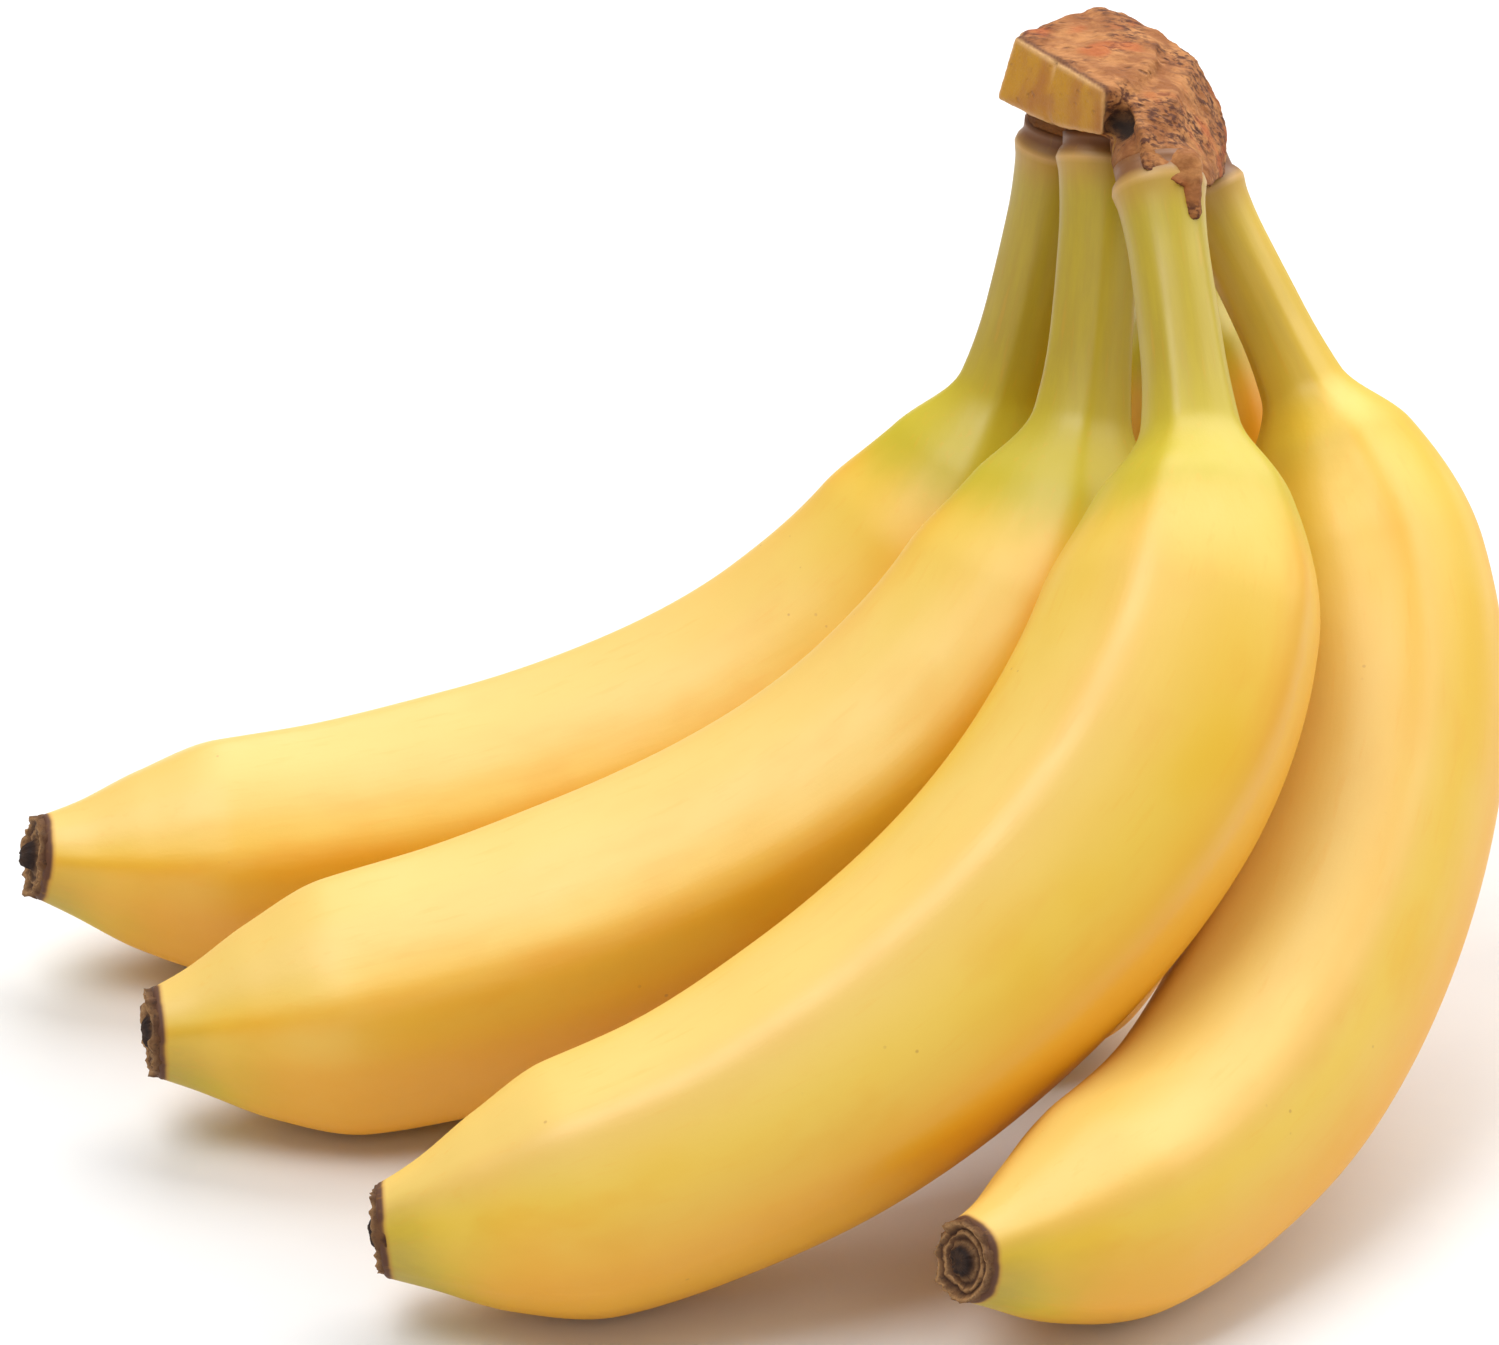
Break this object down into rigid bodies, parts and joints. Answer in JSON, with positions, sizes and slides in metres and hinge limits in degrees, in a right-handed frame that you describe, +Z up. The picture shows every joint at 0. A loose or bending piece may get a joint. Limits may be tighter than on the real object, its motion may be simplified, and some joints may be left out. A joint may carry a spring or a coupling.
{
  "type": "bunch of bananas",
  "caption": "Hand of ripe yellow bananas joined at a brown cut crown, lying on their curved sides with the crown raised at the back.",
  "frame": {"origin": "middle of the footprint, on the surface that the bunch rests on", "axes": "+Z up from the surface, +X along the longest side, from the tips towards the crown's side, +Y towards the back, where the crown is"},
  "size_m": [0.1886, 0.1491, 0.1195],
  "materials": {
    "skin": "smooth satin banana peel, ripe yellow, greenish at the stems and faintly green before the tips",
    "crown": "dried, fibrous brown cut surface with an uncut ochre flank",
    "flower_end": "dry, dark brown to black, ragged and matte"
  },
  "bodies": {
    "root": {"crown": "crown", "banana_far_left": "skin", "banana_middle_left": "skin", "banana_front": "skin", "banana_right": "skin", "banana_back": "skin", "flower_end_far_left": "flower_end", "flower_end_middle_left": "flower_end", "flower_end_front": "flower_end", "flower_end_right": "flower_end", "flower_end_back": "flower_end"}
  },
  "joints": []
}
